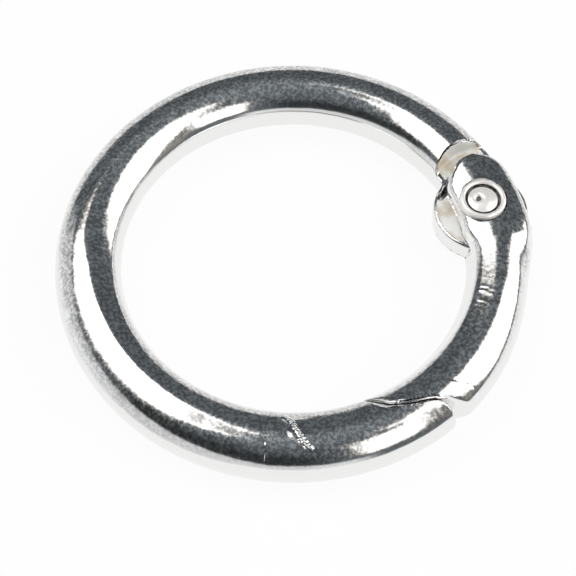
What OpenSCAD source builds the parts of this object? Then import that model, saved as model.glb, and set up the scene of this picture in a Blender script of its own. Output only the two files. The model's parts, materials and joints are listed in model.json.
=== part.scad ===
// Spring gate ring: a round plated ring with a hinged gate that a small spring holds shut.
// The ring lies flat. The origin is the ring's centre, at mid-height, and Z is the hinge's direction.

/* [Ring] */
// Clear diameter inside the ring
ring_inside_d = 20; // [18:0.5:32]
// Diameter of the round section
section_d = 3.8; // [3.6:0.1:4.4]

/* [Hinge] */
// Place of the hinge round the ring, in degrees
hinge_angle = 16; // [0:0.5:40]
// Distance of the hinge axis inside the section's centre line
hinge_inset = 0.45; // [0.3:0.05:0.7]
// Diameter of the knuckle
knuckle_d = 5.6; // [5.4:0.1:6]
// Thickness of the knuckle
knuckle_t = 1.3; // [1.2:0.05:1.5]
// Radius of the knuckle's rounded rim
knuckle_rim_r = 0.2; // [0.1:0.05:0.4]
// Gap between the knuckle and each ear
ear_gap = 0.05; // [0.03:0.01:0.1]
// Gap between the knuckle's rim and the bottom of the fork
fork_gap = 0.25; // [0.15:0.05:0.4]
// Width of the ears
ear_w = 4.3; // [4:0.1:4.4]
// Width of the ears' rim on the inner side of the rivet heads
ear_lip = 0.15; // [0.1:0.05:0.3]
// Length of the ears past the hinge axis, along the ring
ear_reach = 3.4; // [3.1:0.1:3.5]
// Radius of the ears' crown across the ring
ear_crown_r = 3.4; // [3.2:0.1:4]
// Depth of the crown's top below the ring's top
ear_drop = 0.03; // [0.02:0.01:0.06]
// Gap between the ears' ends and the shoulder
shoulder_gap = 0.85; // [0.5:0.05:1]

/* [Rivet] */
// Diameter of the shank
shank_d = 1.8; // [1.5:0.05:2]
// Radial clearance of the shank in the knuckle
shank_clearance = 0.05; // [0.02:0.01:0.1]
// Radial clearance of the shank in the ears
ear_bore_clearance = 0.02; // [0.01:0.01:0.05]
// Diameter of the heads
head_d = 2.7; // [2.6:0.1:2.9]
// Thickness of the heads
head_t = 0.75; // [0.7:0.05:0.8]
// Depth of the heads' tops below the ears' tops
head_recess = 0.02; // [0:0.01:0.1]
// Radial clearance of the heads in the ears
head_clearance = 0.05; // [0.02:0.01:0.1]
// Width of the collar round the groove
collar_w = 0.3; // [0.2:0.05:0.35]
// Diameter of the button inside the groove
button_d = 1.6; // [1.4:0.05:1.7]
// Radius of the button's domed top
button_dome_r = 2; // [1.5:0.1:3]
// Depth of the groove
groove_depth = 0.3; // [0.25:0.05:0.35]
// Radius of the dimple in the button
dimple_r = 0.2; // [0.1:0.05:0.3]
// Distance of the dimple from the button's centre
dimple_offset = 0.25; // [0:0.05:0.4]

/* [Latch] */
// Place of the beak's tip on the outer rim, in degrees
beak_angle = -45.5; // [-48:0.5:-42]
// Place of the bend in the seam, in degrees
bend_angle = -61; // [-62:0.5:-60]
// Distance of the bend inside the section's centre line
bend_inset = 0.5; // [0.3:0.05:0.7]
// Place of the seam's end on the inner rim, in degrees
heel_angle = -68.5; // [-71:0.5:-68]
// How far the beak's tip and the nose's tip are blunted, in degrees
tip_blunt = 1; // [0.5:0.25:2]
// Gap in the seam
latch_gap = 0.08; // [0.06:0.02:0.2]

/* [Spring] */
// Diameter of the wire
wire_d = 0.26; // [0.22:0.02:0.28]
// Mean diameter of the coil
coil_d = 3; // [2.8:0.1:3.1]
// Gap between the coil's turns
turn_gap = 0.04; // [0.02:0.01:0.05]
// Whole turns of the coil, before the part turn to its leg
whole_turns = 1; // [0:1:1]
// Gap round the wire in its pocket, notch and groove
wire_gap = 0.08; // [0.06:0.01:0.1]
// Diameter of the pocket in the knuckle
pocket_d = 4; // [3.8:0.1:4.2]
// Thickness of the pocket's floor
pocket_floor = 0.4; // [0.35:0.05:0.45]
// How far the gate opens, in degrees
open_angle = 60; // [30:5:75]

/* [Hidden] */
$fn = 96;
eps = 0.01;
// Longer than anything that a cut passes through
far = 4 * section_d;

section_r = section_d / 2;
centre_r = (ring_inside_d + section_d) / 2;
outer_r = centre_r + section_r;
inner_r = centre_r - section_r;
function polar(r, a) = [r * cos(a), r * sin(a)];
// Angle round the ring that a length along a circle takes
function arc_angle(length, r) = length / r * 180 / PI;

// Hinge
hinge_r = centre_r - hinge_inset;
knuckle_r = knuckle_d / 2;
fork_half = knuckle_t / 2 + ear_gap;
fork_r = knuckle_r + fork_gap;
ear_inner_r = hinge_r - head_d / 2 - head_clearance - ear_lip;
ear_centre_r = ear_inner_r + ear_w / 2;
ear_end_angle = arc_angle(ear_reach - ear_w / 2, ear_centre_r);
shoulder_r = ear_w / 2 + shoulder_gap;

// Rivet
shank_r = shank_d / 2;
head_r = head_d / 2;
head_top = section_r - head_recess;
head_seat = head_top - head_t;
button_r = button_d / 2;

// Latch: the seam in plan, from outside the outer rim to inside the inner rim
seam_tip = polar(outer_r, beak_angle);
seam_bend = polar(centre_r - bend_inset, bend_angle);
seam_heel = polar(inner_r, heel_angle);
seam = [
    seam_tip + (seam_tip - seam_bend),
    seam_bend,
    seam_heel + (seam_heel - seam_bend)
];

// Spring: the coil turns clockwise from its fixed leg, on the knuckle, down to its leg in the gate
coil_r = coil_d / 2;
turn_pitch = wire_d + turn_gap;
pocket_r = pocket_d / 2;
pocket_top = knuckle_t / 2 - pocket_floor;
coil_top = pocket_top - wire_gap - wire_d / 2;
// Angle between a straight leg's start on the coil and its end at radius r
function leg_swing(r) = acos(coil_r / r);
// Fixed leg: it leaves the coil, bends at the knuckle's rim and ends in a notch there
notch_r = knuckle_r - wire_d - wire_gap;
notch_start_angle = hinge_angle + 110;
notch_end_angle = hinge_angle + 145;
coil_start_angle = notch_start_angle - leg_swing(notch_r);
notch_rise = wire_d;
// Moving leg: its end lies in a groove in the gate's web, at the bottom of the fork
groove_r = fork_r + 2 * wire_d;
groove_angle = hinge_angle - 96;
coil_end_angle = groove_angle + leg_swing(groove_r);
part_turn = coil_start_angle - coil_end_angle;
coil_sweep = part_turn + 360 * whole_turns;
coil_bottom = coil_top - turn_pitch * coil_sweep / 360;
// Window in the knuckle's wall for the moving leg, over the gate's swing
window_start = coil_end_angle - leg_swing(pocket_r) + arc_angle(wire_d, pocket_r);
window_end = coil_end_angle - leg_swing(knuckle_r) - open_angle - arc_angle(wire_d, pocket_r);
window_top = coil_bottom + wire_d / 2 + 2 * wire_gap;

// Places a child on the hinge axis
module at_hinge() {
    translate(polar(hinge_r, hinge_angle))
        children();
}

// Places a child at the centre of the ears' round ends
module at_ear_end() {
    translate(polar(ear_centre_r, hinge_angle + ear_end_angle))
        children();
}

// The ring's round section swept from one angle to another
module round_arc(start, end) {
    rotate([0, 0, start])
        rotate_extrude(angle = end - start)
            translate([centre_r, 0])
                circle(d = section_d);
}

// Everything on the ring's inner side of the seam
module gate_side() {
    translate([0, 0, -far / 2])
        linear_extrude(far)
            polygon(concat(seam, [[0, 0], polar(2 * outer_r, beak_angle / 2)]));
}

// Everything on the ring's outer side of the seam
module body_side() {
    translate([0, 0, -far / 2])
        linear_extrude(far)
            polygon(concat(seam, [polar(2 * outer_r, -90), polar(2 * outer_r, beak_angle)]));
}

// A flat round disc with a rounded rim
module knuckle_blank() {
    rim_half = knuckle_t / 2 - knuckle_rim_r;
    rotate_extrude() {
        translate([0, -knuckle_t / 2])
            square([knuckle_r - knuckle_rim_r, knuckle_t]);
        translate([0, -rim_half])
            square([knuckle_r, 2 * rim_half]);
        for (side = [-1, 1])
            translate([knuckle_r - knuckle_rim_r, side * rim_half])
                circle(knuckle_rim_r);
    }
}

// Room for a straight piece of wire between two points, from one height to another
module wire_room(from, to, bottom, top) {
    room_w = wire_d + 2 * wire_gap;
    run = to - from;
    translate([from[0], from[1], bottom])
        rotate([0, 0, atan2(run[1], run[0])])
            translate([-room_w / 2, -room_w / 2, 0])
                cube([norm(run) + room_w, room_w, top - bottom]);
}

// Pocket for the coil, with the notch and the window for its two legs
module spring_pocket() {
    bottom = -knuckle_t / 2 - eps;
    notch_start = polar(notch_r, notch_start_angle);
    translate([0, 0, bottom])
        cylinder(r = pocket_r, h = pocket_top - bottom);
    wire_room(polar(coil_r, coil_start_angle), notch_start, bottom, pocket_top);
    wire_room(notch_start, polar(notch_r, notch_end_angle), bottom, knuckle_t / 2 + eps);
    translate([0, 0, bottom])
        linear_extrude(window_top - bottom)
            polygon(concat(
                [[0, 0]],
                [for (a = [window_end : (window_start - window_end) / 8 : window_start + eps])
                    polar(fork_r, a)]
            ));
}

// Fixed part of the ring, with its knuckle
module ring_body() {
    color("silver")
        difference() {
            union() {
                difference() {
                    round_arc(hinge_angle, 360 + beak_angle - tip_blunt);
                    for (side = [0, 1])
                        mirror([0, 0, side])
                            at_ear_end()
                                translate([0, 0, knuckle_t / 2])
                                    cylinder(r = shoulder_r, h = section_d);
                }
                at_hinge()
                    knuckle_blank();
            }
            translate([0, -latch_gap / 2])
                gate_side();
            at_hinge()
                cylinder(r = shank_r + shank_clearance, h = far, center = true);
            at_hinge()
                spring_pocket();
        }
}

// Plan of the ears: a band along the ring with round ends
module ear_plan() {
    intersection() {
        difference() {
            circle(ear_inner_r + ear_w);
            circle(ear_inner_r);
        }
        polygon([
            [0, 0],
            polar(2 * outer_r, hinge_angle),
            polar(2 * outer_r, hinge_angle + ear_end_angle)
        ]);
    }
    translate(polar(ear_centre_r, hinge_angle))
        circle(ear_w / 2);
    at_ear_end()
        circle(ear_w / 2);
}

// Both ears as one block, crowned across the ring on its outer sides
module ear_block() {
    intersection() {
        translate([0, 0, -section_d / 2])
            linear_extrude(section_d)
                ear_plan();
        rotate_extrude()
            translate([centre_r, 0])
                intersection_for(side = [-1, 1])
                    translate([0, side * (ear_crown_r - section_r + ear_drop)])
                        circle(ear_crown_r);
    }
}

// Room between the ears: round at the bottom of the fork and open towards the body
module fork_room() {
    translate([0, 0, -fork_half])
        linear_extrude(2 * fork_half) {
            circle(fork_r);
            rotate(hinge_angle)
                translate([-far / 2, 0])
                    square([far, far / 2]);
        }
}

// Arc that swings inward, with the fork for the knuckle
module gate() {
    color("gainsboro")
        difference() {
            union() {
                round_arc(heel_angle + tip_blunt, hinge_angle);
                ear_block();
            }
            translate([0, latch_gap / 2])
                body_side();
            at_hinge() {
                fork_room();
                cylinder(r = shank_r + ear_bore_clearance, h = far, center = true);
                for (side = [0, 1])
                    mirror([0, 0, side])
                        translate([0, 0, head_seat])
                            cylinder(r = head_r + head_clearance, h = section_d);
                wire_room(
                    polar(coil_r, coil_end_angle),
                    polar(groove_r, groove_angle),
                    -fork_half,
                    coil_bottom + wire_d / 2 + wire_gap
                );
            }
        }
}

// Solid rivet with two formed heads
module hinge_rivet() {
    color("lightgray")
        at_hinge() {
            cylinder(r = shank_r, h = 2 * head_seat + 2 * eps, center = true);
            for (side = [0, 1])
                mirror([0, 0, side])
                    rivet_head();
        }
}

// Head of the rivet: a round collar, a groove, and a domed button with a dimple
module rivet_head() {
    difference() {
        rotate_extrude()
            head_profile();
        translate([-dimple_offset, 0, head_top])
            sphere(dimple_r);
    }
}

// Half section of a rivet head
module head_profile() {
    translate([0, head_seat])
        square([head_r, head_t - groove_depth]);
    translate([head_r - collar_w, head_seat])
        square([collar_w, head_t - collar_w / 2]);
    translate([head_r - collar_w / 2, head_top - collar_w / 2])
        circle(d = collar_w);
    intersection() {
        translate([0, head_seat])
            square([button_r, head_t]);
        translate([0, head_top - button_dome_r])
            circle(button_dome_r);
    }
}

// Points along the spring's wire, from the fixed end to the moving end
coil_steps = 24 * (whole_turns + 1);
spring_path = concat(
    [concat(polar(notch_r, notch_end_angle), coil_top + notch_rise)],
    [concat(polar(notch_r, notch_start_angle), coil_top)],
    [for (i = [0 : coil_steps])
        concat(
            polar(coil_r, coil_start_angle - coil_sweep * i / coil_steps),
            coil_top + (coil_bottom - coil_top) * i / coil_steps
        )],
    [concat(polar(groove_r, groove_angle), coil_bottom)]
);

function unit(v) = v / norm(v);
// Direction of the wire at one of its points
function wire_run(path, i) =
    unit(path[min(i + 1, len(path) - 1)] - path[max(i - 1, 0)]);
// One ring of points round the wire
function wire_ring(path, i, sides) =
    let (run = wire_run(path, i), across = unit(cross(run, [0, 0, 1])), up = cross(across, run))
    [for (k = [0 : sides - 1])
        path[i] + wire_d / 2 * (cos(360 * k / sides) * across + sin(360 * k / sides) * up)];

// Closed tube along a path
module wire(path, sides) {
    last = len(path) - 1;
    points = [for (i = [0 : last]) each wire_ring(path, i, sides)];
    walls = [for (i = [0 : last - 1], k = [0 : sides - 1])
        let (next = (k + 1) % sides)
        [i * sides + k, (i + 1) * sides + k, (i + 1) * sides + next, i * sides + next]];
    ends = [
        [for (k = [0 : sides - 1]) k],
        [for (k = [sides - 1 : -1 : 0]) last * sides + k]
    ];
    polyhedron(points, concat(walls, ends), convexity = 8);
}

// Wire spring round the rivet, inside the knuckle
module return_spring() {
    color("dimgray")
        at_hinge()
            wire(spring_path, 8);
}

ring_body();
gate();
hinge_rivet();
return_spring();
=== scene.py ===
import json
import math

import bpy
import numpy as np
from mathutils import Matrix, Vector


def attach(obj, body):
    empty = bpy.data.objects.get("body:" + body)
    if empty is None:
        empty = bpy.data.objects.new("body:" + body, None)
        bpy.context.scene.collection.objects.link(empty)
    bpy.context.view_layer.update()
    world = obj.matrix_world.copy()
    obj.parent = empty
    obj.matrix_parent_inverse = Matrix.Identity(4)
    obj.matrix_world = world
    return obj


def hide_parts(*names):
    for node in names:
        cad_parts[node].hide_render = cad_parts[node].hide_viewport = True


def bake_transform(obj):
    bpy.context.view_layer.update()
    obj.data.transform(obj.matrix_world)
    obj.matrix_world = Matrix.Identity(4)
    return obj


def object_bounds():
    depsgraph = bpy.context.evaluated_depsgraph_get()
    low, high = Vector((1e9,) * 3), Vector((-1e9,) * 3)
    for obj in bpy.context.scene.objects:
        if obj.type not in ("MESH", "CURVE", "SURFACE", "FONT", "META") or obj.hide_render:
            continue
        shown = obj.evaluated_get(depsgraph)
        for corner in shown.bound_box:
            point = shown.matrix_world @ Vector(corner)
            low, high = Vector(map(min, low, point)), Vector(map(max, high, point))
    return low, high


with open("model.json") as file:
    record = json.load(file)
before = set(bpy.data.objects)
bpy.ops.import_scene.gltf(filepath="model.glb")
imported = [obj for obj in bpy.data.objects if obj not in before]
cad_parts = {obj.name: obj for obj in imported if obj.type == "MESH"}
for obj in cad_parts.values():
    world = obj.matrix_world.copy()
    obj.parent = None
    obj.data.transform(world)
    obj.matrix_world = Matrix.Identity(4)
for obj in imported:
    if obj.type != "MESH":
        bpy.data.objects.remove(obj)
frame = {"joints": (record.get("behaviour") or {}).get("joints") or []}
cad_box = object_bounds()

# Fixed part of the ring: one zinc die-casting, polished in a barrel and bright plated. The flat round
# knuckle at one end carries the hinge, and the beak at the other end is what the gate shuts against.
# Lengths are in millimetres until a mesh is made.
MM = 0.001
section_r = cad_box[1][2] / MM
outer_r = cad_box[1][1] / MM
centre_r = outer_r - section_r
hinge = frame["joints"][0]
hinge_x = hinge["pos_m"][0] / MM
hinge_y = hinge["pos_m"][1] / MM
hinge_r = math.hypot(hinge_x, hinge_y)
hinge_turn = math.degrees(math.atan2(hinge_y, hinge_x))
knuckle_r = 2.8
knuckle_half = 0.65
knuckle_rim = 0.2
ear_centre_r = 12.05
ear_half_w = 2.15
ear_reach_turn = math.degrees(1.25 / ear_centre_r)
shoulder_r = ear_half_w + 0.85
shank_bore_r = 0.95
pocket_r = 2.0
pocket_top = 0.25
notch_r = 2.46
notch_turns = (hinge_turn + 110, hinge_turn + 145)
notch_half_w = 0.2
inner_edge_soft = 0.12
shoulder_blend = 0.4
knuckle_blend = 0.3
seam_half_gap = 0.015
chance = np.random.default_rng(7)


def polar(r, turn):
    """Point in plan at a distance from the centre and a turn in degrees."""
    return np.array([r * math.cos(math.radians(turn)), r * math.sin(math.radians(turn))])


def soft_max(a, b, soft):
    """The larger of two distances, with a rounded change from one to the other."""
    near = np.maximum(soft - np.abs(a - b), 0) / soft
    return np.maximum(a, b) + near * near * soft / 4


def soft_min(a, b, soft):
    """The smaller of two distances, with a rounded change from one to the other."""
    return -soft_max(-a, -b, soft)


def rise(value, start, end):
    """A smooth change from 0 to 1 as a value goes from start to end."""
    part = np.clip((value - start) / (end - start), 0, 1)
    return part * part * (3 - 2 * part)


def round_bar(x, y, z):
    """Distance to the ring's round section."""
    return np.hypot(np.hypot(x, y) - centre_r, z) - section_r


def from_hinge(x, y):
    """Distance from the hinge axis, and along the ring from it, towards the body."""
    turn = math.radians(hinge_turn)
    return np.hypot(x - hinge_x, y - hinge_y), y * math.cos(turn) - x * math.sin(turn)


def from_ear_end(x, y):
    """Distance in plan from the centre of the ears' round ends."""
    end = polar(ear_centre_r, hinge_turn + ear_reach_turn)
    return np.hypot(x - end[0], y - end[1])


def from_run(x, y, start, end):
    """Distance in plan from a straight run between two points."""
    run = end - start
    part = np.clip(((x - start[0]) * run[0] + (y - start[1]) * run[1]) / (run @ run), 0, 1)
    return np.hypot(x - start[0] - part * run[0], y - start[1] - part * run[1])


def smooth_line(knots, width):
    """A line in plan through knots, as a table of x, y and slope, with its corners rounded."""
    x, y = np.array(knots).T
    fine = np.arange(x[0], x[-1], 0.02)
    count = int(width / 0.02)
    level = np.interp(fine, x, y)
    for _ in range(2):
        level = np.convolve(np.pad(level, count, "edge"), np.ones(count) / count, "same")[count:-count]
    return fine, level, np.gradient(level, 0.02)


def above_line(x, y, line):
    """Distance above a line in plan."""
    level = np.interp(x, line[0], line[1])
    slope = np.interp(x, line[0], line[2])
    return (y - level) / np.sqrt(1 + slope * slope)


# The seam between the beak and the gate's nose: both follow the latch line, then part towards the outline.
latch_knots = [
    (1.0, -8.3), (3.6, -9.3), (4.6, -9.68), (5.3, -9.98), (6.0, -9.97), (6.65, -9.88), (7.2, -9.72),
]
beak_knots = [
    (7.7, -9.63), (8.05, -9.62), (8.35, -9.7), (8.65, -9.88), (8.88, -10.12), (9.05, -10.4), (9.5, -11.6),
]
seam_rounding = 0.3
beak_line = smooth_line(latch_knots + beak_knots, seam_rounding)


def body_shape(x, y, z):
    """Distance to the body: its bar and knuckle, the bore, pocket and notch, and the beak."""
    from_axis, along = from_hinge(x, y)
    height = np.abs(z)
    bar = round_bar(x, y, z)
    at_hinge = from_axis < 2 * knuckle_r
    bar = np.where(at_hinge, soft_max(bar, -along, inner_edge_soft), bar)
    shoulder = soft_min(shoulder_r - from_ear_end(x, y), height - knuckle_half, shoulder_blend)
    bar = np.where(at_hinge, soft_max(bar, shoulder, 0.1), bar)
    out = from_axis - (knuckle_r - knuckle_rim)
    up = height - (knuckle_half - knuckle_rim)
    corner = np.hypot(np.maximum(out, 0), np.maximum(up, 0))
    disc = corner + np.minimum(np.maximum(out, up), 0) - knuckle_rim
    shape = np.where(at_hinge, soft_min(bar, disc, knuckle_blend), bar)
    shape = soft_max(shape, shank_bore_r - from_axis, inner_edge_soft)
    pocket = np.maximum(from_axis - pocket_r, z - pocket_top)
    shape = soft_max(shape, -pocket, inner_edge_soft)
    axis = np.array([hinge_x, hinge_y])
    notch = from_run(x, y, axis + polar(notch_r, notch_turns[0]), axis + polar(notch_r, notch_turns[1]))
    shape = soft_max(shape, notch_half_w - notch, 0.06)
    at_latch = (y < 0) & (x > 0)
    seam = above_line(x, y, beak_line) + seam_half_gap
    rim = rise(np.hypot(x, y) - centre_r, 0.3, 1.5)
    seat = np.exp(-((x - 5.2) / 0.8) ** 2)
    seam_soft = 0.12 + 0.15 * rim + 0.4 * seat
    return np.where(at_latch, soft_max(shape, seam, seam_soft), shape)


def steps(*stretches):
    """Values along several stretches, laid end to end: (start, end, spacing) for each."""
    values = [np.arange(start, end, spacing) for start, end, spacing in stretches]
    return np.concatenate(values + [[stretches[-1][1]]])


def slope(shape, p, reach=0.002):
    """Direction in which a shape's distance grows fastest, at points p."""
    rows = []
    for axis in range(3):
        step = np.zeros(3)
        step[axis] = reach
        rows.append(shape(*(p + step).T) - shape(*(p - step).T))
    return np.stack(rows, 1) / (2 * reach)


def unit(v):
    """Rows of directions, each of length 1."""
    return v / np.linalg.norm(v, axis=1)[:, None]


def skin(shape, relief, turns, radii, heights):
    """Mesh of a shape's surface, found on a grid that is bent along the ring, then raised by a relief."""
    turn, radius, height = np.meshgrid(np.radians(turns), radii, heights, indexing="ij")
    place = np.stack([radius * np.cos(turn), radius * np.sin(turn), height], -1)
    value = shape(place[..., 0], place[..., 1], place[..., 2])
    inside = value < 0
    cells = tuple(n - 1 for n in value.shape)
    total = np.zeros(cells + (3,))
    count = np.zeros(cells)
    crossings = []
    for axis in range(3):
        low = [slice(None)] * 3
        high = [slice(None)] * 3
        low[axis] = slice(None, -1)
        high[axis] = slice(1, None)
        low, high = tuple(low), tuple(high)
        crossed = inside[low] != inside[high]
        part = np.where(crossed, value[low] / np.where(crossed, value[low] - value[high], 1), 0)
        point = place[low] + part[..., None] * (place[high] - place[low])
        point = np.where(crossed[..., None], point, 0)
        others = [a for a in range(3) if a != axis]
        for first in (0, 1):
            for second in (0, 1):
                pick = [slice(None)] * 3
                pick[others[0]] = slice(first, cells[others[0]] + first)
                pick[others[1]] = slice(second, cells[others[1]] + second)
                total += point[tuple(pick)]
                count += crossed[tuple(pick)]
        crossings.append((axis, others, crossed, inside[low]))
    used = count > 0
    number = np.full(cells, -1)
    number[used] = np.arange(used.sum())
    points = total[used] / count[used][:, None]
    quads = []
    for axis, others, crossed, starts_inside in crossings:
        at = np.argwhere(crossed)
        keep = np.ones(len(at), bool)
        for other in others:
            keep &= (at[:, other] > 0) & (at[:, other] < cells[other])
        at = at[keep]
        corners = []
        for first, second in ((1, 1), (0, 1), (0, 0), (1, 0)):
            cell = at.copy()
            cell[:, others[0]] -= first
            cell[:, others[1]] -= second
            corners.append(number[cell[:, 0], cell[:, 1], cell[:, 2]])
        quad = np.stack(corners, 1)
        flip = starts_inside[at[:, 0], at[:, 1], at[:, 2]] != (axis == 1)
        quad[flip] = quad[flip][:, ::-1]
        quads.append(quad)
    for _ in range(5):
        grown = slope(shape, points)
        size = np.maximum((grown ** 2).sum(1), 0.05)
        points = points - (shape(*points.T) / size)[:, None] * grown
    normals = unit(slope(shape, points))
    tilt = slope(relief, points)
    raised = points + relief(*points.T)[:, None] * normals
    normals = unit(normals - tilt + (tilt * normals).sum(1)[:, None] * normals)
    return raised, np.concatenate(quads), normals


def piece(name, points, faces, normals=None):
    """Object made of points in millimetres, smoothly shaded."""
    mesh = bpy.data.meshes.new(name)
    mesh.from_pydata((points * MM).tolist(), [], faces)
    mesh.update()
    mesh.shade_smooth()
    if normals is not None:
        mesh.normals_split_custom_set_from_vertices(normals.tolist())
    made = bpy.data.objects.new(name, mesh)
    bpy.context.scene.collection.objects.link(made)
    return made


def ripples(count, shortest, longest, tilt):
    """Random waves in space, of one mean tilt: the unevenness that barrel polishing leaves."""
    length = np.exp(chance.uniform(math.log(shortest), math.log(longest), count))
    ways = unit(chance.normal(size=(count, 3))) * (2 * math.pi / length)[:, None]
    phases = chance.uniform(0, 2 * math.pi, count)
    heights = tilt * length / (2 * math.pi) * math.sqrt(2 / count)

    def height(x, y, z):
        total = np.zeros(np.shape(x))
        for way, phase, top in zip(ways, phases, heights):
            total = total + top * np.sin(way[0] * x + way[1] * y + way[2] * z + phase)
        return total

    return height


polish = ripples(count=40, shortest=0.5, longest=3.0, tilt=0.008)
parting_depth = 0.17


def parting(x, y, z):
    """The casting's two halves: the section is a little fuller at mid-height, where the dies met."""
    aside = np.hypot(x, y) - centre_r
    turn = np.degrees(np.arctan2(np.abs(z), np.abs(aside) + 1e-6))
    on_bar = np.exp(-((np.hypot(aside, z) - section_r) / 0.25) ** 2)
    return -parting_depth * rise(turn, 12, 62) * on_bar


sway_turn = [150, 165, 177, 183, 188, 193, 205, 235, 248, 262]
sway_tilt = [0.0, -0.1, -0.13, 0.0, 0.1, 0.14, 0.24, 0.24, 0.18, 0.0]


def sway(x, y, z):
    """The crown leans in along one stretch and out along the next, where the polishing was uneven."""
    tilt = np.interp(np.degrees(np.arctan2(y, x)) % 360, sway_turn, sway_tilt)
    return 0.6 * tilt * (0.3 - rise(np.hypot(x, y) - centre_r, -0.55, 0.35)) * rise(z, 0.3, 1.0)


scar_y = [10.6, 10.87, 11.15, 11.4, 11.62, 11.85, 12.1, 12.35, 12.66, 13.0]
scar_x = [-0.3, -0.12, 0.12, 0.18, 0.36, 0.45, 0.62, 0.7, 1.01, 1.15]


def body_relief(x, y, z):
    """Polished unevenness, the jagged scar where the runner was broken off, and a burr along the beak."""
    past = x - np.interp(-y, scar_y, scar_x) + 0.03 * np.sin(31 * y) * np.sin(17 * y + 1)
    there = rise(z, 0.2, 0.9) * rise(-y, 10.6, 10.9) * (1 - rise(-y, 12.6, 12.9))
    step = 0.05 * rise(past, -0.04, 0.05) * np.exp(-np.maximum(past, 0) / 0.7)
    crest = 0.06 * np.exp(-(past / 0.1) ** 2) - 0.04 * np.exp(-((past + 0.2) / 0.13) ** 2)
    dent = -0.03 * np.exp(-((past + 0.75) / 0.25) ** 2 - ((y + 12.0) / 0.4) ** 2)
    below = above_line(x, y, beak_line) + 0.12 + 0.04 * np.sin(19 * x) * np.sin(7 * x)
    on_beak = rise(x, 5.0, 5.4) * (1 - rise(x, 7.2, 7.8)) * rise(z, 0.2, 0.9)
    burr = 0.03 * np.exp(-(below / 0.07) ** 2) * on_beak
    edge = x + 1.41
    second = 0.03 * rise(edge, -0.03, 0.04) * np.exp(-np.maximum(edge, 0) / 0.5) * rise(-y, 12.3, 12.7)
    marks = there * (step + crest + dent) + second + burr
    return polish(x, y, z) + parting(x, y, z) + sway(x, y, z) + np.where(y < -10, marks, 0)


grid_step = 0.08
grid_radii = np.arange(hinge_r - knuckle_r - 0.15, hinge_r + knuckle_r + 0.2, grid_step)
grid_heights = np.arange(-section_r - 0.1, section_r + 0.15, grid_step)
body_turns = steps(
    (hinge_turn - 15, hinge_turn + 22, 0.38), (hinge_turn + 22, 261, 1.0), (261, 277, 0.3),
    (277, 284, 0.8), (284, 316.5, 0.38),
)
points, faces, normals = skin(body_shape, body_relief, body_turns, grid_radii, grid_heights)
ring_body = piece("ring_body_casting", points, faces.tolist(), normals)
middle = points[faces].mean(1)
on_rim = np.abs(from_hinge(middle[:, 0], middle[:, 1])[0] - knuckle_r + 0.06) < 0.14
near_ears = from_ear_end(middle[:, 0], middle[:, 1]) < shoulder_r + 1.2
off_bar = np.abs(round_bar(*middle.T)) > 0.24
# The recess faces take the satin finish, whose pale and beige colour is painted reflection.
in_recess = near_ears & off_bar & ~on_rim
# Painted shadow: the knuckle's lower rim takes the dark painted-shade material, for the shadow under the
# knuckle.
painted_shadow_rim = on_rim & (np.abs(middle[:, 2] + knuckle_half - 0.1) < 0.07)
ring_body.data.polygons.foreach_set("material_index", (in_recess + 2 * painted_shadow_rim).astype(np.int32))
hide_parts("ring_body")
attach(ring_body, "ring")


class Socket:
    """A shader socket: sums and products of sockets and numbers become Math nodes."""

    def __init__(self, tree, socket=None):
        self.tree = tree
        self.socket = socket

    def node(self, kind, settings=None, sockets=None, output=0):
        """Adds one shader node: its settings first, then the values or sockets that feed it."""
        made = self.tree.nodes.new(kind)
        for name, value in (settings or {}).items():
            setattr(made, name, value)
        for name, value in (sockets or {}).items():
            if isinstance(value, Socket):
                self.tree.links.new(value.socket, made.inputs[name])
            else:
                made.inputs[name].default_value = value
        return Socket(self.tree, made.outputs[output] if made.outputs else None)

    def math(self, operation, *values):
        """A Math node fed by the values in order."""
        return self.node("ShaderNodeMath", {"operation": operation}, dict(enumerate(values)))

    def ramp(self, start, end, low=0.0, high=1.0):
        """A smooth change from low to high as the value goes from start to end."""
        ends = {"Value": self, "From Min": start, "From Max": end, "To Min": low, "To Max": high}
        return self.node("ShaderNodeMapRange", {"interpolation_type": "SMOOTHSTEP"}, ends)

    def __add__(self, other):
        return self.math("ADD", self, other)

    def __sub__(self, other):
        return self.math("SUBTRACT", self, other)

    def __rsub__(self, other):
        return self.math("SUBTRACT", other, self)

    def __mul__(self, other):
        return self.math("MULTIPLY", self, other)

    def __pow__(self, other):
        return self.math("POWER", self, other)

    __radd__ = __add__
    __rmul__ = __mul__


def blank(name):
    """A new material without nodes, and a socket to start its shader from."""
    material = bpy.data.materials.new(name)
    material.use_nodes = True
    material.node_tree.nodes.clear()
    return material, Socket(material.node_tree)


def grey(shade, level, warm=0.0):
    """A colour of one level, a little warmer than grey."""
    parts = {0: level * (1 + warm), 1: level, 2: level * (1 - warm)}
    return shade.node("ShaderNodeCombineColor", None, parts)


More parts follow.
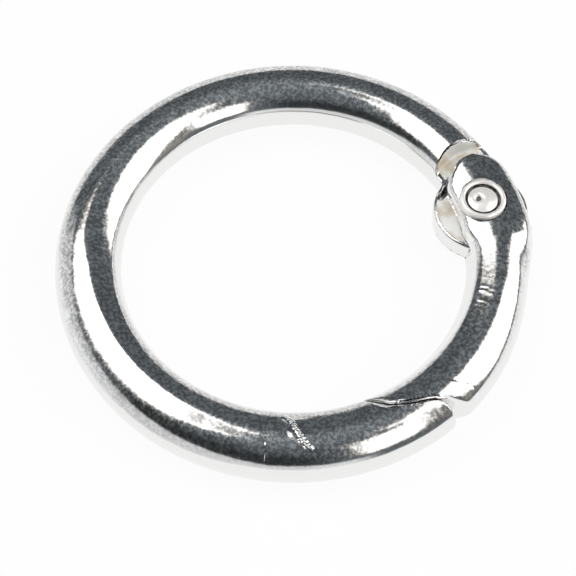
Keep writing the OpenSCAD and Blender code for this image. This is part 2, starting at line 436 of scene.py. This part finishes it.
def plating(name, dull, haze, tilt, warm=0.006, metal=1.0, pale=0.86):
    """Bright plating over cast metal: fine pits and specks, a haze on top, and a slight orange peel."""
    material, shade = blank(name)
    place = shade.node("ShaderNodeTexCoord", output="Object")
    grain = shade.node(
        "ShaderNodeTexNoise", None, {"Vector": place, "Scale": 5200.0, "Detail": 3.0, "Roughness": 0.6},
    )
    patch = shade.node("ShaderNodeTexNoise", None, {"Vector": place, "Scale": 1500.0, "Detail": 2.0})
    peel = shade.node("ShaderNodeTexNoise", None, {"Vector": place, "Scale": 2600.0, "Detail": 1.0})
    facing = shade.node("ShaderNodeNewGeometry", output="Normal")
    upward = shade.node("ShaderNodeSeparateXYZ", None, {0: facing}, output=2).ramp(0.5, 0.85)
    speck = grain.ramp(0.42, 0.6) * 0.7 + patch.ramp(0.35, 0.7) * 0.3
    level = pale - upward * (haze - haze * speck)
    bump = shade.node(
        "ShaderNodeBump", None,
        {"Height": upward * (peel + grain * 0.5), "Strength": 1.0, "Distance": tilt},
    )
    shader = shade.node(
        "ShaderNodeBsdfPrincipled", None,
        {
            "Base Color": grey(shade, level, warm), "Metallic": metal,
            "Roughness": dull + upward * grain.ramp(0.4, 0.75) * 0.07, "Normal": bump,
        },
    )
    shade.node("ShaderNodeOutputMaterial", None, {"Surface": shader})
    return material


def satin_recess_painted_reflection():
    """The recess faces: a satin finish where the barrel doesn't reach, and a pale colour with warm beige
    patches that paints in the reflected white table and warm reflected light.
    """
    material, shade = blank("satin_recess_painted_reflection")
    place = shade.node("ShaderNodeTexCoord", output="Object")
    warm_reflection_patch = shade.node("ShaderNodeTexNoise", None, {"Vector": place, "Scale": 900.0, "Detail": 2.0})
    grain = shade.node("ShaderNodeTexNoise", None, {"Vector": place, "Scale": 6000.0, "Detail": 2.0})
    # Painted reflection: pale colour with warm beige patches for the white table and warm light reflected
    # on these faces.
    colour = shade.node("ShaderNodeCombineColor", None, {
        0: warm_reflection_patch.ramp(0.35, 0.62, 0.72, 0.97),
        1: warm_reflection_patch.ramp(0.35, 0.62, 0.62, 0.96),
        2: warm_reflection_patch.ramp(0.35, 0.62, 0.48, 0.93),
    })
    bump = shade.node("ShaderNodeBump", None, {"Height": grain, "Strength": 1.0, "Distance": 0.000004})
    shader = shade.node(
        "ShaderNodeBsdfPrincipled", None,
        {"Base Color": colour, "Metallic": 0.15, "Roughness": 0.38 + grain * 0.12, "Normal": bump},
    )
    shade.node("ShaderNodeOutputMaterial", None, {"Surface": shader})
    return material


def painted_shade_dark():
    """Painted shade: a dark, dull finish that stands for the shadow under the knuckle's lower rim and the
    shade in the rivet's groove and dimple.
    """
    material, shade = blank("painted_shade_dark")
    place = shade.node("ShaderNodeTexCoord", output="Object")
    shade_noise = shade.node("ShaderNodeTexNoise", None, {"Vector": place, "Scale": 4000.0, "Detail": 2.0})
    colour = grey(shade, shade_noise.ramp(0.35, 0.65, 0.04, 0.22), 0.02)
    shader = shade.node(
        "ShaderNodeBsdfPrincipled", None, {"Base Color": colour, "Metallic": 0.7, "Roughness": 0.45},
    )
    shade.node("ShaderNodeOutputMaterial", None, {"Surface": shader})
    return material


bright_plating = plating("bright_plating", dull=0.12, haze=0.5, tilt=0.0000012)
recess_satin_and_reflection = satin_recess_painted_reflection()
painted_shade = painted_shade_dark()
ring_body.data.materials.append(bright_plating)
ring_body.data.materials.append(recess_satin_and_reflection)
# The third slot is the dark painted shade, for the shadow under the knuckle's lower rim.
ring_body.data.materials.append(painted_shade)

# Return spring: drawn steel wire wound round the rivet inside the knuckle. One leg lies in the knuckle's
# notch and the other reaches into the gate, so on the real ring the coil twists as the gate swings; here
# it is one fixed wire.
wire_r = 0.13
wire_sides = 14
coil_r = 1.5
coil_steps = 90
leg_steps = 14
coil_turns = (hinge_turn + 57.6, hinge_turn - 390.85)
coil_levels = (0.04, -0.334)
gate_leg = polar(3.57, hinge_turn - 96)


def tube(path, radius, sides):
    """Points and faces of a round wire along a path, with closed ends."""
    run = unit(np.gradient(path, axis=0))
    across = unit(np.cross(run, [0, 0, 1]))
    up = np.cross(across, run)
    turn = np.arange(sides) * 2 * math.pi / sides
    spread = np.cos(turn)[:, None] * across[:, None] + np.sin(turn)[:, None] * up[:, None]
    rings = path[:, None] + radius * spread
    caps = [path[0] - run[0] * radius * 0.4, path[-1] + run[-1] * radius * 0.4]
    last = (len(path) - 1) * sides
    faces = []
    for i in range(len(path) - 1):
        for k in range(sides):
            a, b = i * sides + k, i * sides + (k + 1) % sides
            faces.append([a, a + sides, b + sides, b])
    for k in range(sides):
        after = (k + 1) % sides
        faces.append([len(path) * sides, k, after])
        faces.append([len(path) * sides + 1, last + after, last + k])
    return np.concatenate([rings.reshape(-1, 3), caps]), faces


def straight(start, end, count):
    """Points along a straight run."""
    return start + (end - start) * np.linspace(0, 1, count)[:, None]


coil = np.stack([
    np.append(polar(coil_r, turn), level)
    for turn, level in zip(np.linspace(*coil_turns, coil_steps), np.linspace(*coil_levels, coil_steps))
])
notch_start = np.append(polar(notch_r, notch_turns[0]), coil_levels[0])
notch_end = np.append(polar(notch_r, notch_turns[1]), coil_levels[0] + 0.26)
path = np.concatenate([
    straight(notch_end, notch_start, leg_steps), straight(notch_start, coil[0], leg_steps)[1:],
    coil[1:], straight(coil[-1], np.append(gate_leg, coil_levels[1]), leg_steps)[1:],
])
for _ in range(3):
    path[1:-1] = (path[:-2] + 2 * path[1:-1] + path[2:]) / 4
path[:, 0] += hinge_x
path[:, 1] += hinge_y
points, faces = tube(path, wire_r, wire_sides)
spring = piece("return_spring_wire", points, faces)
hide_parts("return_spring")
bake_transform(spring)


def drawn_wire():
    """Drawn steel: dark grey, with fine marks along and across the wire."""
    material, shade = blank("drawn_wire")
    place = shade.node("ShaderNodeTexCoord", output="Object")
    marks = shade.node("ShaderNodeTexNoise", None, {"Vector": place, "Scale": 9000.0, "Detail": 3.0})
    stain = shade.node("ShaderNodeTexNoise", None, {"Vector": place, "Scale": 1200.0, "Detail": 2.0})
    bump = shade.node("ShaderNodeBump", None, {"Height": marks, "Strength": 1.0, "Distance": 0.000004})
    shader = shade.node(
        "ShaderNodeBsdfPrincipled", None,
        {
            "Base Color": grey(shade, stain.ramp(0.3, 0.7, 0.45, 0.68), 0.01), "Metallic": 1.0,
            "Roughness": marks.ramp(0.3, 0.7, 0.22, 0.4), "Normal": bump,
        },
    )
    shade.node("ShaderNodeOutputMaterial", None, {"Surface": shader})
    return material


spring.data.materials.append(drawn_wire())

# Gate: the second zinc casting, plated like the body. Its forked end has two crowned ears that take the
# knuckle between them, and its nose shuts behind the beak.
fork_r = 3.05
fork_half = 0.7
crown_inner_r = 3.4
crown_outer_r = 2.7
ear_top = section_r - 0.03
ear_blend = 0.45
neck_inset = 0.3
neck_inner_r = 2.1
neck_outer_r = 2.25
neck_blend = 0.8
head_bore_r = 1.3
head_seat = 1.13
nose_knots = [(7.7, -9.61), (8.3, -9.62), (9.3, -9.7), (10.5, -9.8)]
gate_line = smooth_line(latch_knots + nose_knots, seam_rounding)


def gate_shape(x, y, z):
    """Distance to the gate: its bar, neck and crowned ears, the fork, the rivet's seats and the nose."""
    from_axis, along = from_hinge(x, y)
    height = np.abs(z)
    radius = np.hypot(x, y)
    aside = radius - centre_r
    past_end = np.degrees(np.arctan2(y, x)) - hinge_turn - ear_reach_turn - 0.5
    over = np.maximum(np.radians(past_end), 0) * ear_centre_r
    plan = np.hypot(radius - ear_centre_r, over) - ear_half_w
    crown_r = np.where(aside > 0, crown_outer_r, crown_inner_r)
    crown = np.hypot(aside, height + crown_r - ear_top) - crown_r
    outside = rise(aside, -0.6, 0.8)
    ears = soft_max(plan, crown, ear_blend)
    plain = np.hypot(np.hypot(aside, over), z) - section_r
    neck_r = np.where(aside > -neck_inset, neck_outer_r, neck_inner_r)
    neck = np.hypot(aside + neck_inset, height + neck_r - ear_top) - neck_r
    neck = soft_max(np.abs(aside) - section_r, neck, neck_blend)
    shape = plain + rise(along, -12.5, -6) * (neck - plain)
    on_top = rise(height, 0.5, 1.3)
    outer_share = rise(along, -4.3, -2.4) * on_top + rise(along, -5.6, -1.4) * (1 - on_top)
    share = rise(along, -2.6, -1.2) * (1 - outside) + outer_share * outside
    shape = shape + share * (ears - shape)
    shape = soft_max(shape, height - section_r, 0.02)
    fork = np.maximum(from_axis - fork_r, height - fork_half)
    shape = soft_max(shape, -fork, inner_edge_soft)
    fork_open = np.maximum(-along, height - fork_half)
    shape = soft_max(shape, -fork_open, inner_edge_soft)
    seat = np.maximum(from_axis - head_bore_r, head_seat - height)
    shape = soft_max(shape, -seat, 0.1)
    seam = seam_half_gap - above_line(x, y, gate_line)
    nose = np.exp(-((x - 4.7) / 0.7) ** 2)
    seam_soft = 0.06 + 0.2 * rise(aside, 0.3, 1.5) + 0.4 * nose
    return np.where(y < 0, soft_max(shape, seam, seam_soft), shape)


def gate_relief(x, y, z):
    """Polished unevenness, flattened sides, ripples on the inner side, and a crease above the latch."""
    turn = np.degrees(np.arctan2(y, x))
    aside = np.hypot(x, y) - centre_r
    group = np.exp(-((turn + 16) / 4) ** 2 - ((aside + 0.7) / 0.45) ** 2) * rise(z, 0.2, 0.8)
    crease = turn + 43.2 - 2.5 * (aside - 0.75)
    mark = np.exp(-(crease / 0.35) ** 2 - ((aside - 0.7) / 0.5) ** 2) * rise(z, 0.2, 0.8)
    along = from_hinge(x, y)[1]
    drop = 0.13 * (1 - rise(aside, -1.0, 0.2)) + 0.07 * rise(aside, 0.0, 0.95)
    ridge = -drop * rise(along, -12, -6) * (1 - rise(along, -3, -1.4)) * rise(z, 0.3, 1.0)
    marks = 0.006 * group * np.sin(turn * 2.6 + 1.6 * np.sin(turn * 1.3) + 2.5 * aside) - 0.025 * mark
    return polish(x, y, z) + parting(x, y, z) + ridge + marks


gate_turns = steps((-72, -38, 0.38), (-38, -4, 0.7), (-4, hinge_turn + 16, 0.38))
points, faces, normals = skin(gate_shape, gate_relief, gate_turns, grid_radii, grid_heights)
gate = piece("gate_casting", points, faces.tolist(), normals)
middle = points[faces].mean(1)
near_axis = from_hinge(middle[:, 0], middle[:, 1])[0] < fork_r + 0.3
in_fork = near_axis & (np.abs(middle[:, 2]) < fork_half + 0.02)
gate.data.polygons.foreach_set("material_index", in_fork.astype(np.int32))
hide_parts("gate")
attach(gate, "gate")
gate.data.materials.append(bright_plating)
gate.data.materials.append(recess_satin_and_reflection)

# Hinge rivet: a turned steel rivet through both ears and the knuckle, set with a ring punch. Each head has
# a round collar, a groove and a domed button with a dimple left by the punch.
head_top = 1.88
head_r = 1.35
collar_w = 0.32
button_r = 0.9
brow_r = 0.06
dome_r = 2.0
groove_floor = head_top - 0.3
shank_r = 0.9
dimple = (-0.25, 0.02)
dimple_depth = 0.24
dimple_w = 0.21
# Radius of the painted shade in the dimple.
dimple_shade_r = 0.17
sides = 128


def arc(x, z, r, start, end, count):
    """Points of a profile along an arc, between two turns in degrees."""
    turn = np.radians(np.linspace(start, end, count))
    return np.stack([x + r * np.cos(turn), z + r * np.sin(turn)], 1)


def head_profile():
    """Half section of one head, from the button's centre out to the shank."""
    across = np.linspace(0, button_r - brow_r, 16)
    dome = np.stack([across, head_top - dome_r + np.sqrt(dome_r ** 2 - across ** 2)], 1)
    brow = arc(button_r - brow_r, dome[-1, 1] - brow_r, brow_r, 80, 0, 5)
    collar_x = head_r - collar_w / 2
    collar = arc(collar_x, head_top - collar_w / 2, collar_w / 2, 180, 0, 17)
    foot = [
        (button_r + 0.01, groove_floor + 0.03), (button_r + 0.03, groove_floor),
        (collar_x - 0.18, groove_floor),
    ]
    seat = [(head_r, head_seat + 0.05), (head_r - 0.03, head_seat + 0.02), (shank_r, head_seat + 0.02)]
    return np.concatenate([dome, brow, foot, collar, seat])


half = head_profile()
profile = np.concatenate([half, half[::-1] * [1, -1]])
turn = np.arange(sides) * 2 * math.pi / sides
rings = np.stack([
    profile[:, :1] * np.cos(turn), profile[:, :1] * np.sin(turn), np.repeat(profile[:, 1:], sides, 1)
], -1)
points = rings.reshape(-1, 3)
away = np.hypot(points[:, 0] - dimple[0], points[:, 1] - dimple[1])
on_button = np.abs(points[:, 2]) > groove_floor + 0.05
on_button &= np.hypot(points[:, 0], points[:, 1]) < button_r
dent = np.sign(points[:, 2]) * dimple_depth * np.exp(-(away / dimple_w) ** 2)
points[:, 2] -= np.where(on_button, dent, 0)
points[:, :2] += [hinge_x, hinge_y]
faces = []
for i in range(len(profile) - 1):
    for k in range(sides):
        a, b = i * sides + k, i * sides + (k + 1) % sides
        faces.append([a, a + sides, b + sides, b])
faces = np.array(faces)
rivet = piece("hinge_rivet_turned", points, faces.tolist())
middle = points[faces].mean(1)
out = np.hypot(middle[:, 0] - hinge_x, middle[:, 1] - hinge_y)
# Painted shade: the rivet's groove and dimple take the dark painted-shade material, for the shade in them.
groove_painted_shade = (out > button_r - 0.03) & (out < head_r - collar_w + 0.05)
groove_painted_shade &= np.abs(middle[:, 2]) < head_top - 0.09
dimple_painted_shade = np.hypot(middle[:, 0] - hinge_x - dimple[0], middle[:, 1] - hinge_y - dimple[1]) < dimple_shade_r
rivet.data.polygons.foreach_set("material_index", (groove_painted_shade | dimple_painted_shade).astype(np.int32))
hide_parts("hinge_rivet")
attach(rivet, "gate")
rivet_plating = plating(
    "rivet_plating", dull=0.32, haze=0.08, tilt=0.000003, warm=0.04, metal=0.4, pale=0.98,
)
rivet.data.materials.append(rivet_plating)
rivet.data.materials.append(painted_shade)

# Studio: a white table under the ring, soft boxes to the right, the front right and the upper left, and a
# pale low screen to the front left, in a dim room. The ring lies flat, so the table is one section radius
# below its centre.
table_share = 0.93
box_light = 2.7
screen_light = 0.72
bpy.ops.mesh.primitive_plane_add(size=4, location=(0, 0, -section_r * MM))
table = bpy.context.object
table.name = "table"


def table_white():
    """A table that is white to the eye and in reflections, and keeps a little of the ring's shadow."""
    material, shade = blank("white_table")
    seen = shade.node("ShaderNodeLightPath", output="Is Camera Ray")
    seen = seen + shade.node("ShaderNodeLightPath", output="Is Glossy Ray")
    seen = seen + shade.node("ShaderNodeLightPath", output="Is Transmission Ray")
    shadowed = shade.node("ShaderNodeBsdfDiffuse", None, {"Color": (0.9, 0.9, 0.9, 1)})
    white = shade.node("ShaderNodeEmission", None, {"Color": (1, 1, 1, 1), "Strength": 1.0})
    shader = shade.node("ShaderNodeMixShader", None, {0: seen * table_share, 1: shadowed, 2: white})
    shade.node("ShaderNodeOutputMaterial", None, {"Surface": shader})
    return material


table.data.materials.append(table_white())

world = bpy.data.worlds.new("studio")
bpy.context.scene.world = world
world.use_nodes = True
world.node_tree.nodes.clear()
sky = Socket(world.node_tree)
way = sky.node("ShaderNodeTexCoord", output="Generated")
east = sky.node("ShaderNodeSeparateXYZ", None, {0: way}, output=0)
north = sky.node("ShaderNodeSeparateXYZ", None, {0: way}, output=1)
level = sky.math("ARCSINE", sky.node("ShaderNodeSeparateXYZ", None, {0: way}, output=2)) * math.degrees(1)


def swing_from(turn):
    """Angle round the sky from a direction, in degrees."""
    c = math.cos(math.radians(turn))
    s = math.sin(math.radians(turn))
    return sky.math("ARCTAN2", north * c - east * s, east * c + north * s) * math.degrees(1)


def soft_box(turn, half_width, bottom, top, soft):
    """One soft box, as a share of full white over the sky."""
    across = sky.math("ABSOLUTE", swing_from(turn)).ramp(half_width - soft, half_width + soft, 1.0, 0.0)
    return across * level.ramp(bottom - soft, bottom + soft) * level.ramp(top - soft, top + soft, 1.0, 0.0)


dim_front = soft_box(turn=-120, half_width=42, bottom=-10, top=48, soft=8)
room = level.ramp(45, 85, 0.15, 0.31) * (1 - 0.7 * dim_front)
upright = (swing_from(0) + 0.22 * level).ramp(34.5, 40.5, 1.0, 0.0)
right_box = soft_box(turn=4, half_width=34, bottom=9, top=68, soft=4) * upright
boxes = right_box + soft_box(turn=-46, half_width=15, bottom=25, top=54, soft=4)
wedge = sky.math("ABSOLUTE", swing_from(-26)) + 0.45 * level
boxes = boxes * wedge.ramp(21.5, 26.5, 0.05, 1.0)
swing = swing_from(160)
leaning = (level + 0.5 * swing).ramp(25, 35) * (level - 0.45 * swing).ramp(25, 32)
left_box = soft_box(turn=156, half_width=50, bottom=30, top=75.5, soft=4) * leaning
boxes = sky.math("MINIMUM", boxes + left_box, 1.0)
screen_top = (level + 0.075 * swing_from(180)).ramp(21, 27, 1.0, 0.0)
low = screen_light * soft_box(turn=220, half_width=78, bottom=-30, top=50, soft=6) * screen_top
colour = sky.node("ShaderNodeCombineColor", None, {
    0: room * 0.9 + low + box_light * boxes ** 0.94,
    1: room + low + box_light * boxes,
    2: room * 1.07 + low + box_light * boxes ** 1.1,
})
light = sky.node("ShaderNodeBackground", None, {"Color": colour, "Strength": 1.0})
sky.node("ShaderNodeOutputWorld", None, {"Surface": light})

# Camera: it looks down on the ring from in front, as a hand lens on a bench stand would.
view_rise = 58.99
view_roll = 0.66
view_distance = 85.38
camera_data = bpy.data.cameras.new("camera")
camera_data.sensor_width = 36
camera_data.lens = 91.7
camera_data.shift_x = -0.0095
camera_data.shift_y = -0.0511
camera_data.clip_start = 0.005
camera = bpy.data.objects.new("camera", camera_data)
camera.location = (
    0,
    -view_distance * MM * math.cos(math.radians(view_rise)),
    view_distance * MM * math.sin(math.radians(view_rise)),
)
camera.rotation_mode = "ZYX"
camera.rotation_euler = (math.radians(90 - view_rise), 0, math.radians(view_roll))
bpy.context.scene.collection.objects.link(camera)
bpy.context.scene.camera = camera

bpy.context.scene.view_settings.view_transform = "Standard"
